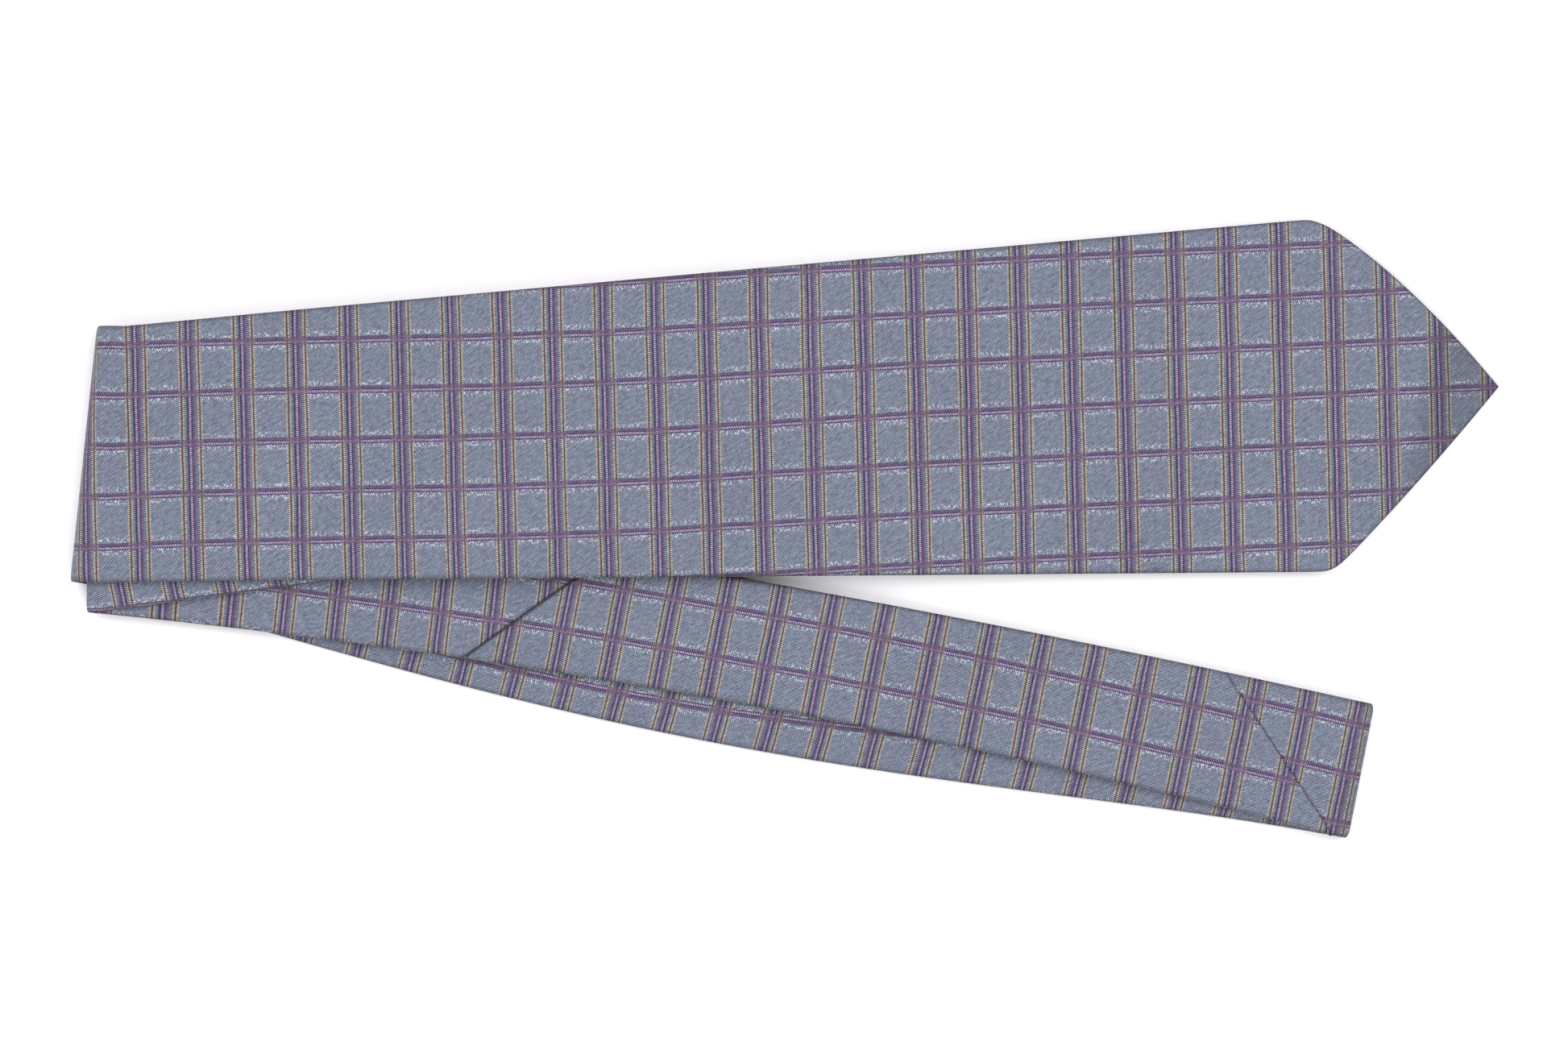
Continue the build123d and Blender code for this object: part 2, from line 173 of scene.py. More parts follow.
def section(half_low, half_high, gap, thin, faces, flaps, roll=ROLL):
    """One row of cloth across a layer for each row of half widths.

    From the flap edge on the -side, over the turned side, the face, the other turned side, to
    the other flap edge. The turned sides are half ellipses: across = (half - roll) + roll
    sin(angle), depth = half a layer times (1 - cos(angle)). Returns across, depth and the
    distance along the cloth from the middle of the face, each as (rows, columns).
    """
    half_low, half_high, gap, thin = (np.asarray(v, float)[:, None] for v in
                                      np.broadcast_arrays(half_low, half_high, gap, thin))
    angle = np.linspace(0, math.pi, SIDE_COLUMNS + 1)[None, :]
    halves = []
    for half in (half_low, half_high):
        reach = np.minimum(roll, 0.45 * half)
        side = (half - reach) + reach * np.sin(angle)
        inner = half - reach
        flap = inner + (np.minimum(gap, inner) - inner) * np.linspace(0, 1, flaps + 1)[None, 1:]
        halves.append((inner, side, flap))
    (inner_low, side_low, flap_low), (inner_high, side_high, flap_high) = halves
    round_ = LAYER / 2 * (1 - np.cos(angle)) + 0 * side_low
    share = np.linspace(-1, 1, 2 * faces + 1)[None, :]
    face = np.where(share < 0, share * inner_low, share * inner_high)
    across = np.concatenate(
        [-flap_low[:, ::-1], -side_low[:, :0:-1], face[:, :-1], side_high, flap_high], axis=1)
    depth = np.concatenate(
        [0 * flap_low + LAYER, round_[:, :0:-1], 0 * face[:, :-1], round_,
         0 * flap_high + LAYER], axis=1)
    middle = flaps + SIDE_COLUMNS + faces
    steps = np.hypot(np.diff(across, axis=1), np.diff(depth, axis=1))
    cloth = np.concatenate([0 * steps[:, :1], np.cumsum(steps, axis=1)], axis=1)
    cloth = cloth - cloth[:, middle:middle + 1]
    depth = LAYER / 2 + (depth - LAYER / 2) * thin
    return across, depth, cloth


def silk_profile(half_low, half_high, gap, thin):
    """The shell's cross-section, with as many columns everywhere so that layers join."""
    return section(half_low, half_high, gap, thin, FACE_COLUMNS, FLAP_COLUMNS)


def slab_profile(shallow, deep, columns=23):
    """Makes the cross-section of a thin slab: a closed loop, out along one depth and back."""

    def profile(half_low, half_high, gap, thin):
        share = np.linspace(-1, 1, columns)[None, :]
        low, high = np.asarray(half_low)[:, None], np.asarray(half_high)[:, None]
        face = np.where(share < 0, share * low, share * high)
        depth = np.concatenate([0 * face + shallow, 0 * face + deep], axis=1)
        depth = LAYER / 2 + (depth - LAYER / 2) * np.broadcast_to(thin, low.shape[:1])[:, None]
        across = np.concatenate([face, face[:, ::-1]], axis=1)
        return across, depth, across

    return profile


def rows_between(length, step, close_first=False, close_last=False):
    """Distances of the rows along a layer: evenly spaced, with close rows at a seam."""
    close = np.array([0.12, 0.3, 0.5, 0.75, 1.1, 1.6])
    rows = [np.linspace(0, length, max(int(length / step), 3) + 1)]
    if close_first:
        rows.append(close)
    if close_last:
        rows.append(length - close)
    return np.unique(np.round(np.concatenate(rows), 4))


def pointed_halves(cut, along, inset):
    """Half widths of the wide blade or the tail on its two sides.

    Each is the smaller, softened, of the straight side and the point's side. The point's side
    is a straight slant plus a parabola, and a square root blunts the tip.
    """
    body = cut["length"] - cut["point"]
    share = (along - body) / cut["point"]
    within = np.clip(share, 0, 1)
    straight = cut["start"] / 2 + (cut["end"] - cut["start"]) / 2 * np.minimum(along / body, 1.2)
    blunt = 2.0 * np.maximum(cut["length"] - along, 0)
    halves = []
    for bulge in cut["bulge"]:
        point = cut["end"] / 2 * (1 - share) + 4 * bulge * DIAGONAL * within * (1 - within)
        half = -SOFT_CORNER * np.logaddexp(-straight / SOFT_CORNER, -point / SOFT_CORNER)
        half = np.where(share > 0.5, point, half) * np.sqrt(blunt / (blunt + 0.35))
        halves.append(np.maximum(half - inset * np.where(along > body, 1.2, 1.0), 0))
    return halves


def flap_gap(cut, along):
    """Half the gap between the flaps: a slit that opens to a triangle behind the point."""
    hem = cut["hem"] * 0.7
    shoulder = cut["length"] - cut["point"] - hem
    parting = cut["length"] - cut["part"]
    hem_edge = cut["length"] - cut["hem"] * DIAGONAL
    opening = np.clip((along - parting) / (shoulder - parting), 0, 1)
    closing = np.clip((hem_edge - along) / (hem_edge - shoulder), 0, 1)
    gap = SLIT + (cut["end"] / 2 - cut["hem"] * 1.1) * np.minimum(opening, closing)
    return np.where(along > hem_edge - 1, np.minimum(gap, SLIT * (along < hem_edge)), gap)


def pointed_layer(cut, fold, face_up, top, step, profile, inset=0.0, begin=None):
    """The wide blade or the tail: straight sides that widen, then a point with swollen sides.

    The first row lies along the fold, unless the rows begin further on.
    """
    axis = heading(cut["angle"])
    side = np.array([-axis[1], axis[0]])
    slant = math.tan(math.radians(cut["angle"]) - math.atan2(fold.into[1], fold.into[0]))
    body = cut["length"] - cut["point"]
    first = (fold.radius + FLAT) / math.cos(math.atan(slant)) if begin is None else begin
    tip = cut["length"] - inset * 1.4
    along = np.concatenate([
        first + rows_between(body - 4 - first, step),
        np.arange(body - 3, tip - 3, 1.3),
        tip - np.array([2.6, 2.2, 1.8, 1.4, 1.0, 0.7, 0.4, 0.2, 0.08, 0.0]),
    ])
    halves = pointed_halves(cut, along, inset)
    gap = flap_gap(cut, along)
    thin = np.sqrt(np.clip(1 - (1 - np.minimum(np.minimum(*halves) / ROLL, 1)) ** 2, 0, 1))
    across, depth, cloth = profile(halves[0], halves[1], gap, thin)
    fade = 1 - smooth((along - first) / 60) if begin is None else 0 * along
    runs = along[:, None] + across * slant * fade[:, None]
    plan = fold.middle + runs[..., None] * axis + across[..., None] * side
    drop = sag(plan[..., 0]) - ripple(plan[..., 0], plan[..., 1])
    height = (top - depth if face_up else top + depth) - drop
    points = np.concatenate([plan, height[..., None]], axis=-1)
    return points, runs, cloth, depth


class Band:
    """A layer between two folds whose middle line bows a little.

    Measured along the chord between the folds: the middle line's offset is bow times
    4t(1-t), plus skew times t(1-t)(1-2t), plus belly times the square of 4t(1-t); the half
    width is a parabola through three values.
    """

    def __init__(self, first, last, bend, widths):
        self.first, self.last = first, last
        a = first.middle + first.into * first.radius
        b = last.middle + last.into * last.radius
        self.start, self.run = a, float(np.hypot(*(b - a)))
        self.chord = (b - a) / self.run
        self.side = np.array([-self.chord[1], self.chord[0]])
        self.bend, self.widths = bend, widths

    def offset(self, x):
        t = x / self.run
        bow, skew, belly = self.bend
        hump = t * (1 - t)
        return bow * 4 * hump + skew * hump * (1 - 2 * t) + belly * 16 * hump * hump

    def half(self, x):
        t = x / self.run
        a, m, b = (w / 2 for w in self.widths)
        return a * (1 - t) * (1 - 2 * t) + 4 * m * t * (1 - t) + b * t * (2 * t - 1)

    def fold_line(self, fold, at_end):
        """Where the row at FLAT beyond a fold's curve lies: chord distance and its slope."""
        slope = float(np.dot(fold.along, self.chord) / np.dot(fold.along, self.side))
        if at_end:
            return self.run - FLAT, slope
        return FLAT, slope

    def layer(self, low, high, face_up, top, step, profile, close=(False, False), inset=0.0):
        """Rows between two slanting lines, each (chord distance at the middle, slope)."""
        rows = rows_between(high[0] - low[0], step, *close) / (high[0] - low[0])
        middle = low[0] + rows * (high[0] - low[0])
        half = self.half(middle) - inset
        across, depth, cloth = profile(half, half, SLIT, 1.0)
        begin, end = low[0] + low[1] * across, high[0] + high[1] * across
        x = begin + (end - begin) * rows[:, None]
        grow = (self.half(x) - inset) / half[:, None]
        across = across * grow
        offset = self.offset(x) + across
        plan = self.start + x[..., None] * self.chord + offset[..., None] * self.side
        lift = ripple(plan[..., 0], plan[..., 1], 0.5 if face_up else 0.0)
        height = (top - depth if face_up else top + depth) + lift
        points = np.concatenate([plan, height[..., None]], axis=-1)
        return points, x, cloth * grow, depth


def fold_strip(fold, low, high, count, outer_is_face, pinch=1.0, wall=0.0):
    """Cloth round a fold, from the end row of the lower layer to that of the upper one.

    Each column's place along the fold line goes evenly from one row's to the other's, and its
    run along the cloth from minus to plus. low and high are (points, cloth coordinates, depth).
    Halfway round, the layer is pressed against its outer face to pinch times its thickness,
    and a lining keeps at least wall away from both faces.
    """
    share = np.linspace(0, 1, count)[:, None]
    squeeze = 1 - (1 - pinch) * smooth(2.2 * np.minimum(share, 1 - share))
    ends = []
    for (points, _, _), sign in ((low, -1), (high, 1)):
        inward, along = fold.measure(points)
        ends.append((sign * (fold.quarter + inward - fold.radius), along))
    run = ends[0][0] + (ends[1][0] - ends[0][0]) * share
    along = ends[0][1] + (ends[1][1] - ends[0][1]) * share
    depth = low[2] + (high[2] - low[2]) * share
    given, depth = depth, depth if outer_is_face else LAYER - depth
    half = LAYER / 2 * squeeze
    depth = half + np.clip((depth - LAYER / 2) * squeeze, wall - half, half - wall)
    points = fold.place(run, along, depth)
    cloth = low[1][None] + (high[1] - low[1])[None] * share[..., None]
    points[0], points[-1] = low[0], high[0]
    return points, cloth, given


def srgb(red, green, blue):
    """The cloth's own linear colour, given how it looks on a screen in the stage's bright light."""
    c = np.array([red, green, blue]) / 255
    return tuple(np.where(c <= 0.04045, c / 12.92, ((c + 0.055) / 1.055) ** 2.4) / LIGHT_GAIN)


def mesh_grid(name, points, cloth=None, flip=False, closed=False, merge=False, shade=None):
    """A mesh from a grid of points in millimetres: one quad between each four neighbours.

    closed joins the last column to the first. cloth is the place of each point on the flat
    cloth, in millimetres, and becomes the UV map in metres. shade is the painted shade of
    each point, from how far it is turned away or pressed in, 0 to 1, and becomes a second
    UV map.
    """
    rows, columns = points.shape[:2]
    index = np.arange(rows * columns).reshape(rows, columns)
    if closed:
        index = np.concatenate([index, index[:, :1]], axis=1)
    a, b = index[:-1, :-1].ravel(), index[:-1, 1:].ravel()
    c, d = index[1:, 1:].ravel(), index[1:, :-1].ravel()
    quads = np.stack([a, d, c, b] if flip else [a, b, c, d], axis=1)
    mesh = bpy.data.meshes.new(name)
    mesh.from_pydata((points.reshape(-1, 3) * MM).tolist(), [], quads.tolist())
    loops = np.zeros(len(mesh.loops), np.int32)
    mesh.loops.foreach_get("vertex_index", loops)
    maps = {}
    if cloth is not None:
        maps["cloth"] = cloth.reshape(-1, 2) * MM
    if shade is not None:
        # painted shade goes into the second UV map
        maps["shade"] = np.repeat(shade.reshape(-1, 1), 2, axis=1)
    for map_name, values in maps.items():
        layer = mesh.uv_layers.new(name=map_name)
        layer.data.foreach_set("uv", values[loops].astype(np.float32).ravel())
    if merge:
        work = bmesh.new()
        work.from_mesh(mesh)
        bmesh.ops.remove_doubles(work, verts=work.verts, dist=2e-6)
        bmesh.ops.dissolve_degenerate(work, edges=work.edges, dist=1e-7)
        work.to_mesh(mesh)
        work.free()
    mesh.shade_smooth()
    edge_of = np.zeros(len(mesh.loops), np.int32)
    mesh.loops.foreach_get("edge_index", edge_of)
    open_edge = np.bincount(edge_of, minlength=len(mesh.edges)) == 1
    mesh.attributes.new("sharp_edge", "BOOLEAN", "EDGE").data.foreach_set("value", open_edge)
    piece = bpy.data.objects.new(name, mesh)
    bpy.context.scene.collection.objects.link(piece)
    return piece


def thicken(piece, millimetres):
    """Gives cloth its thickness, inwards from the side the faces point to."""
    wall = piece.modifiers.new("cloth thickness", "SOLIDIFY")
    wall.thickness = millimetres * MM
    wall.offset = -1
    return piece


def flat_area(cloth):
    """Area of the flat cloth that a grid covers, in square metres, by the shoelace sum."""
    a, b = cloth[:-1, :-1] * MM, cloth[:-1, 1:] * MM
    c, d = cloth[1:, 1:] * MM, cloth[1:, :-1] * MM
    p, q = c - a, d - b
    return float(np.abs(p[..., 0] * q[..., 1] - p[..., 1] * q[..., 0]).sum() / 2)


def declare_sheet(cloth):
    """Works out the extent and area of a piece's flat cloth, and keeps neither."""
    extent = (cloth.reshape(-1, 2).max(0) - cloth.reshape(-1, 2).min(0)) * MM
    size = (max(float(extent[1]), 0.0101), max(float(extent[0]), 0.0101))
    area = min(max(flat_area(cloth), 0.301 * size[0] * size[1]), size[0] * size[1])


class Weave:
    """Short names for the shader nodes that a pattern is worked out with."""

    def __init__(self, name, roughness):
        self.material = bpy.data.materials.new(name)
        self.material.use_nodes = True
        self.tree = self.material.node_tree
        self.shader = self.tree.nodes["Principled BSDF"]
        self.shader.inputs["Roughness"].default_value = roughness

    def node(self, kind, **settings):
        node = self.tree.nodes.new(kind)
        for key, value in settings.items():
            setattr(node, key, value)
        return node

    def feed(self, socket, value):
        if isinstance(value, bpy.types.NodeSocket):
            self.tree.links.new(value, socket)
        elif value is not None:
            socket.default_value = value

    def sum(self, operation, a, b=None, c=None, clamp=False):
        node = self.node("ShaderNodeMath", operation=operation, use_clamp=clamp)
        for socket, value in zip(node.inputs, (a, b, c)):
            self.feed(socket, value)
        return node.outputs[0]

    def band(self, value, low, high, soft=0.05):
        """1 where value is between low and high, with soft edges."""
        up = self.node("ShaderNodeMapRange", interpolation_type="SMOOTHSTEP")
        down = self.node("ShaderNodeMapRange", interpolation_type="SMOOTHSTEP")
        for node, edge, turn in ((up, low, 1), (down, high, -1)):
            self.feed(node.inputs["Value"], value)
            node.inputs["From Min"].default_value = edge - soft
            node.inputs["From Max"].default_value = edge + soft
            node.inputs["To Min"].default_value = 0 if turn > 0 else 1
            node.inputs["To Max"].default_value = 1 if turn > 0 else 0
        return self.sum("MULTIPLY", up.outputs[0], down.outputs[0])

    def mix(self, share, a, b, blend="MIX"):
        node = self.node("ShaderNodeMix", data_type="RGBA", blend_type=blend)
        self.feed(node.inputs["Factor"], share)
        self.feed(node.inputs[6], (*a, 1) if isinstance(a, tuple) else a)
        self.feed(node.inputs[7], (*b, 1) if isinstance(b, tuple) else b)
        return node.outputs[2]

    def stripes(self, value, pitch, bands):
        """Colours by distance within a repeat: bands are (start in millimetres, colour)."""
        ramp = self.node("ShaderNodeValToRGB").color_ramp
        node = ramp.id_data.nodes[-1]
        self.feed(node.inputs[0], self.sum("DIVIDE", value, pitch))
        stops = []
        for i, (start, colour) in enumerate(bands):
            end = bands[i + 1][0] if i + 1 < len(bands) else pitch
            soft = min(0.07, (end - start) * 0.3)
            stops += [((start + soft) / pitch, colour), ((end - soft) / pitch, colour)]
        ramp.elements[0].position, ramp.elements[1].position = 0.0, 1.0
        for place, _ in stops[1:-1]:
            ramp.elements.new(place)
        for element, (_, colour) in zip(ramp.elements, stops):
            element.color = (*colour, 1)
        return node.outputs[0]

    def repeat(self, value, pitch):
        """Distance within a repeat, in the same unit as value."""
        return self.sum("FLOORED_MODULO", value, pitch)

    def wave(self, phase, sharp=0.0):
        """0 to 1 once for every whole number of phase; sharp narrows the change."""
        turn = self.sum("SINE", self.sum("MULTIPLY", phase, 2 * math.pi))
        return self.sum("MULTIPLY_ADD", turn, 0.5 + sharp, 0.5, clamp=True)

    def vary(self, value, spread):
        """Turns 0 to 1 into a factor about 1, which spreads that much from end to end."""
        return self.sum("MULTIPLY_ADD", value, spread, 1 - spread / 2)

    def noise(self, place, size, detail=2.0):
        """Cloudy noise 0 to 1 whose lumps are about size in the unit of place."""
        node = self.node("ShaderNodeTexNoise")
        self.feed(node.inputs["Vector"], place)
        node.inputs["Scale"].default_value = 1 / size
        node.inputs["Detail"].default_value = detail
        return node.outputs[0]

    def join(self, x, y, z=0.0):
        node = self.node("ShaderNodeCombineXYZ")
        for socket, value in zip(node.inputs, (x, y, z)):
            self.feed(socket, value)
        return node.outputs[0]

    def raise_from(self, height, millimetres, strength=1.0):
        bump = self.node("ShaderNodeBump")
        bump.inputs["Distance"].default_value = millimetres * MM
        bump.inputs["Strength"].default_value = strength
        self.feed(bump.inputs["Height"], height)
        self.tree.links.new(bump.outputs[0], self.shader.inputs["Normal"])

    def cloth_place(self):
        """The two distances on the flat cloth, in millimetres."""
        node = self.node("ShaderNodeUVMap", uv_map="cloth")
        split = self.node("ShaderNodeSeparateXYZ")
        self.tree.links.new(node.outputs[0], split.inputs[0])
        return (self.sum("MULTIPLY", split.outputs[0], 1000.0),
                self.sum("MULTIPLY", split.outputs[1], 1000.0))


class TieCloth(bpy.types.PropertyGroup):
    """Colours and repeats of the woven silk."""

    ground_light: FloatVectorProperty(
        name="Ground, raised threads", description="Light blue threads of the plain squares",
        subtype="COLOR", size=3, min=0, max=1, default=srgb(178, 188, 209))
    ground_dark: FloatVectorProperty(
        name="Ground, sunk threads", description="Slate threads between the light ones",
        subtype="COLOR", size=3, min=0, max=1, default=srgb(82, 90, 112))
    cream: FloatVectorProperty(
        name="Cream threads", description="Dotted columns beside the brown lines",
        subtype="COLOR", size=3, min=0, max=1, default=srgb(216, 208, 196))
    brown: FloatVectorProperty(
        name="Brown lines", description="Thin lines across the tie",
        subtype="COLOR", size=3, min=0, max=1, default=srgb(104, 82, 82))
    violet: FloatVectorProperty(
        name="Violet threads", description="Stripes across and along the tie",
        subtype="COLOR", size=3, min=0, max=1, default=srgb(134, 110, 148))
    lavender: FloatVectorProperty(
        name="Lavender threads", description="Raised dots and dashes in the violet stripes",
        subtype="COLOR", size=3, min=0, max=1, default=srgb(204, 188, 214))
    streaks: FloatProperty(
        name="Streaks", description="Unevenness of the threads along the twill",
        default=1.1, min=0, max=3)
    # strength of the painted shade on the turned sides, in the seam grooves and near the half fold
    painted_edge_shade: FloatProperty(
        name="Edge shade", description="How much darker the turned sides and seams are",
        default=0.42, min=0, max=0.9)
    repeat_along: FloatProperty(
        name="Repeat along", description="Distance between stripes that cross the tie",
        default=0.01417, min=0.005, max=0.05, unit="LENGTH")
    repeat_across: FloatProperty(
        name="Repeat across", description="Distance between stripes that run along the tie",
        default=0.0136, min=0.005, max=0.05, unit="LENGTH")
    thread: FloatProperty(
        name="Thread pitch", description="Distance between raised threads",
        default=0.00053, min=0.0002, max=0.002, unit="LENGTH")


class TieSizes(bpy.types.PropertyGroup):
    """Thicknesses of the made-up tie."""

    silk: FloatProperty(
        name="Silk", description="Thickness of the woven silk",
        default=0.00035, min=0.0001, max=0.001, unit="LENGTH")
    stitch: FloatProperty(
        name="Stitch", description="Thickness of the sewing thread",
        default=0.00018, min=0.00005, max=0.0006, unit="LENGTH")


class TieStage(bpy.types.PropertyGroup):
    """Light and camera."""

    lamp_power: FloatProperty(
        name="Lamp power", description="Power of each soft lamp", default=11.0, min=0, max=500,
        unit="POWER")
    sky: FloatProperty(
        name="Surrounding light", description="Strength of the even light all round",
        default=0.91, min=0, max=5)
    camera_height: FloatProperty(
        name="Camera height", description="Height of the camera above the table",
        default=1.6054, min=0.3, max=5, unit="LENGTH")


TWILL_SLANT = 28  # degrees between the twill's ridges and the length of the cloth

# Colours of the threads by distance within a repeat: where each band starts, in millimetres,
# its raised threads and its sunk ones, as a colour on a screen or the name of a cloth colour.
CROSSING_BANDS = (
    (0.0, "cream", (108, 100, 104)),
    (0.5, "brown", (80, 62, 66)),
    (0.95, "cream", (108, 100, 104)),
    (1.42, (150, 160, 176), (76, 78, 96)),
    (2.05, (78, 64, 104), (62, 52, 86)),
    (2.62, "lavender", (92, 74, 122)),
    (3.2, (82, 68, 108), (66, 56, 88)),
    (3.55, "violet", (78, 66, 100)),
    (4.1, (146, 152, 176), (78, 80, 102)),
    (4.85, "cream", (108, 100, 104)),
    (5.35, "brown", (80, 62, 66)),
    (5.75, "cream", (108, 100, 104)),
    (6.25, "ground_light", "ground_dark"),
)
LENGTHWISE_BANDS = (
    (0.0, (98, 80, 118), (72, 58, 92)),
    (0.35, "lavender", (98, 78, 124)),
    (0.95, (76, 62, 100), (60, 50, 82)),
    (1.25, "violet", (84, 70, 106)),
    (1.75, (96, 84, 118), (70, 66, 92)),
    (2.0, "ground_light", "ground_dark"),
)


def woven_bands(w, look, raised_share, distance, repeat, bands):
    """Colours of a table of bands, where raised_share says how far a thread stands up."""

    def colours(column):
        return [(row[0], tuple(getattr(look, row[column])) if isinstance(row[column], str)
                 else srgb(*row[column])) for row in bands]

    return w.mix(raised_share, w.stripes(distance, repeat, colours(2)),
                 w.stripes(distance, repeat, colours(1)))


def twill_threads(w, u, v, pitch):
    """Slanting ridges of the plain weave broken into strokes, and the strokes alone."""
    slope = math.tan(math.radians(TWILL_SLANT))
    fine = w.noise(w.join(u, v), 0.28, 1.0)
    phase = w.sum("DIVIDE", w.sum("MULTIPLY_ADD", u, -slope, v), pitch)
    ridges = w.wave(w.sum("MULTIPLY_ADD", fine, 0.4, phase), 0.1)
    strokes = w.wave(w.sum("DIVIDE", w.sum("MULTIPLY_ADD", v, 0.45, u), pitch * 1.1))
    broken = w.sum("MULTIPLY_ADD", w.sum("MULTIPLY", ridges, strokes), 0.75,
                   w.sum("MULTIPLY", ridges, 0.42), clamp=True)
    return broken, strokes


def light_specks(w, u, v, from_line, across, strokes):
    """Share of light threads, which come up here and there beside the lengthwise lines."""
    beside = w.sum("MAXIMUM", w.band(from_line, across - 1.3, across + 1, 0.5),
                   w.sum("MAXIMUM", w.band(from_line, -1, 0.0, 0.1),
                         w.band(from_line, 2.2, 3.4, 0.5)))
    speck = w.noise(w.join(u, w.sum("MULTIPLY", v, 0.8)), 0.6, 0.0)
    speck = w.sum("MULTIPLY_ADD", speck, 12.0, -6.4, clamp=True)
    speck = w.sum("MULTIPLY", speck, w.sum("MULTIPLY_ADD", strokes, 0.75, 0.25))
    return w.sum("MULTIPLY", speck, beside)


def thread_tone(w, look, u, v):
    """How light the threads are: clouds, grain, streaks along the twill, slubs, painted shade at
    turned and pressed places.
    """
    turn = math.radians(TWILL_SLANT)
    with_twill = w.sum("MULTIPLY_ADD", v, math.sin(turn), w.sum("MULTIPLY", u, math.cos(turn)))
    over_twill = w.sum("MULTIPLY_ADD", v, math.cos(turn), w.sum("MULTIPLY", u, -math.sin(turn)))
    streaks = w.noise(w.join(w.sum("DIVIDE", with_twill, 3.0), over_twill), 0.7, 1.0)
    clouds = w.vary(w.noise(w.join(u, v), 38.0, 3.0), 0.22)
    grain = w.vary(w.noise(w.join(u, v), 0.18, 1.0), 0.24)
    slubs = w.vary(w.noise(w.join(v, u, 3.0), 0.75, 0.0), 0.5)
    grain = w.sum("MULTIPLY", w.sum("MULTIPLY", grain, w.vary(streaks, look.streaks)), slubs)
    # painted shade: pressed darkens the turned sides, the seam grooves and the cloth near the half
    # fold, read from the shade UV map
    painted_shade_uv = w.node("ShaderNodeSeparateXYZ")
    w.feed(painted_shade_uv.inputs[0], w.node("ShaderNodeUVMap", uv_map="shade").outputs[0])
    pressed = w.sum("MULTIPLY_ADD", painted_shade_uv.outputs[0], -look.painted_edge_shade, 1.0)
    return w.sum("MULTIPLY", w.sum("MULTIPLY", clouds, grain), pressed)


def plaid_silk(name):
    """Woven plaid: a twill ground, striped groups across the tie and dashed lines along it."""
    look = bpy.context.scene.tie_cloth
    w = Weave(name, roughness=0.62)
    u, v = w.cloth_place()
    pitch = look.thread / MM
    along, across = look.repeat_along / MM, look.repeat_across / MM
    wander_u = w.sum("MULTIPLY_ADD", w.noise(w.join(u, v), 16.0), 0.5, -0.25)
    wander_v = w.sum("MULTIPLY_ADD", w.noise(w.join(v, u, 7.0), 16.0), 0.5, -0.25)
    from_group = w.repeat(w.sum("ADD", u, wander_u), along)
    from_line = w.repeat(w.sum("ADD", v, wander_v), across)

    twill, strokes = twill_threads(w, u, v, pitch)
    ground = w.mix(twill, tuple(look.ground_dark), tuple(look.ground_light))
    specks = light_specks(w, u, v, from_line, across, strokes)
    ground = w.mix(specks, ground, srgb(226, 228, 238))

    dots = w.wave(w.sum("DIVIDE", w.sum("MULTIPLY_ADD", u, 0.22, v), pitch), 0.2)
    group = woven_bands(w, look, dots, from_group, along, CROSSING_BANDS)
    in_group = w.band(from_group, 0.0, 6.25, 0.06)
    dashes = w.wave(w.sum("DIVIDE", w.sum("MULTIPLY_ADD", v, 0.55, u), pitch * 1.25), 0.35)
    line = woven_bands(w, look, dashes, from_line, across, LENGTHWISE_BANDS)
    in_line = w.band(from_line, 0.0, 1.95, 0.08)
    magenta = w.mix(w.sum("MULTIPLY", dashes, dots), srgb(92, 66, 96), srgb(166, 136, 172))
    both = w.mix(0.5, w.mix(0.5, group, line), magenta)
    colour = w.mix(in_line, w.mix(in_group, ground, group), w.mix(in_group, line, both))

    tone = thread_tone(w, look, u, v)
    tint = w.node("ShaderNodeCombineColor")
    for socket in tint.inputs:
        w.feed(socket, tone)
    w.feed(w.shader.inputs["Base Color"], w.mix(1.0, colour, tint.outputs[0], "MULTIPLY"))

    relief = w.mix(in_line, w.mix(in_group, twill, dots), dashes)
    w.raise_from(relief, 0.06, 0.55)
    w.shader.inputs["Specular IOR Level"].default_value = 0.22
    w.shader.inputs["Sheen Weight"].default_value = 0.12
    w.shader.inputs["Sheen Roughness"].default_value = 0.45
    return w.material


def lining_wool():
    """Brushed wool interlining: cream fibres with a loose crossed weave."""
    w = Weave("lining wool", roughness=0.95)
    u, v = w.cloth_place()
    weft = w.wave(w.sum("DIVIDE", u, 1.1))
    warp = w.wave(w.sum("DIVIDE", v, 1.1))
    fuzz = w.noise(w.join(u, v), 0.5, 3.0)
    height = w.sum("MULTIPLY_ADD", w.sum("MULTIPLY", weft, warp), 0.6, fuzz)
    w.feed(w.shader.inputs["Base Color"], w.mix(height, srgb(176, 166, 146), srgb(224, 216, 198)))
    w.raise_from(height, 0.15, 0.7)
    return w.material


def tipping_satin():
    """Dark navy satin: fine floats that run along the tie."""
    w = Weave("tipping satin", roughness=0.42)
    u, v = w.cloth_place()
    floats = w.wave(w.sum("DIVIDE", w.sum("MULTIPLY_ADD", u, 0.35, v), 0.3), 0.2)
    cloud = w.noise(w.join(u, v), 6.0)
    height = w.sum("MULTIPLY_ADD", cloud, 0.4, floats)
    w.feed(w.shader.inputs["Base Color"], w.mix(height, srgb(38, 42, 62), srgb(74, 80, 106)))
    w.raise_from(floats, 0.03, 0.4)
    return w.material


def label_tape(name, warp_colour, weft_colour):
    """Smooth woven tape: very fine ribs across it, crossed by finer threads."""
    w = Weave(name, roughness=0.5)
    u, v = w.cloth_place()
    ribs = w.wave(w.sum("DIVIDE", u, 0.34), 0.2)
    threads = w.wave(w.sum("DIVIDE", v, 0.22))
    height = w.sum("MULTIPLY_ADD", threads, 0.4, ribs)
    w.feed(w.shader.inputs["Base Color"], w.mix(height, warp_colour, weft_colour))
    w.raise_from(height, 0.03, 0.5)
    return w.material


